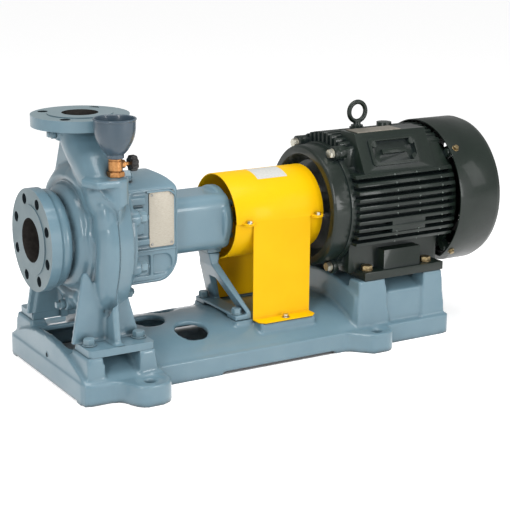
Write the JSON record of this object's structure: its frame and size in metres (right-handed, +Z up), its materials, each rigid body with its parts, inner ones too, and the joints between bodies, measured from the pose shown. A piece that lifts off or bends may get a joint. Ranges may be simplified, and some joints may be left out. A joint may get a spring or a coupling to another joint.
{
  "type": "end-suction centrifugal pump with motor on a cast base",
  "caption": "End-suction volute pump with a swan-neck outlet, priming cup and lantern bracket, driven through a guarded coupling by a finned fan-cooled motor on one cast base.",
  "frame": {"origin": "on the floor, under the middle of the set's length and width", "axes": "+X along the shaft from the suction flange to the motor fan, +Z up"},
  "size_m": [0.952, 0.45, 0.4906],
  "materials": {
    "pump_enamel": "glossy grey-blue enamel over cast iron",
    "painted_bolts": "grey-blue paint over hexagon heads",
    "cup_enamel": "slate enamel, half gloss",
    "stainless_plate": "plain rolled sheet",
    "copper_alloy": "turned gunmetal",
    "black_knob": "black moulded resin",
    "steel": "turned steel",
    "impeller_iron": "bare casting",
    "coupling_iron": "turned casting, oiled",
    "guard_yellow": "yellow powder coat on sheet",
    "zinc_bolts": "zinc plated",
    "motor_enamel": "very dark green enamel, satin",
    "fan_plastic": "moulded fan",
    "eyebolt_enamel": "forged eye, dark paint",
    "name_plate": "blank plate"
  },
  "bodies": {
    "pump_set": {"base_frame": "pump_enamel", "bearing_cover": "pump_enamel", "bearing_housing": "pump_enamel", "cable_gland": "black_knob", "casing_nuts": "painted_bolts", "cock_body": "copper_alloy", "cooling_fan": "fan_plastic", "cowl_bolts": "zinc_bolts", "drain_plug": "painted_bolts", "drive_end_shield": "motor_enamel", "eyebolt": "eyebolt_enamel", "fan_cowl": "motor_enamel", "fan_shaft": "steel", "gauge_plug": "painted_bolts", "guard_lower": "guard_yellow", "guard_screws": "zinc_bolts", "guard_upper": "guard_yellow", "impeller": "impeller_iron", "lantern_bracket": "pump_enamel", "leg_bolts": "painted_bolts", "motor_coupling_half": "coupling_iron", "motor_foot_bolts": "zinc_bolts", "motor_frame": "motor_enamel", "motor_plate": "name_plate", "motor_shaft": "steel", "priming_cup": "cup_enamel", "pump_coupling_half": "coupling_iron", "pump_foot_bolts": "painted_bolts", "pump_shaft": "steel", "rear_shield": "motor_enamel", "shield_bolts": "zinc_bolts", "support_leg": "pump_enamel", "terminal_box": "motor_enamel", "terminal_lid": "motor_enamel", "volute_casing": "pump_enamel", "window_plates": "stainless_plate"},
    "knob": {"cock_knob": "black_knob", "cock_spindle": "copper_alloy"}
  },
  "joints": [
    {"name": "priming_cock_turn", "type": "hinge", "parent": "pump_set", "child": "knob", "pos_m": [-0.337, -0.128, 0.41], "axis": [1, 0, 0], "range_deg": [0, 720]}
  ]
}
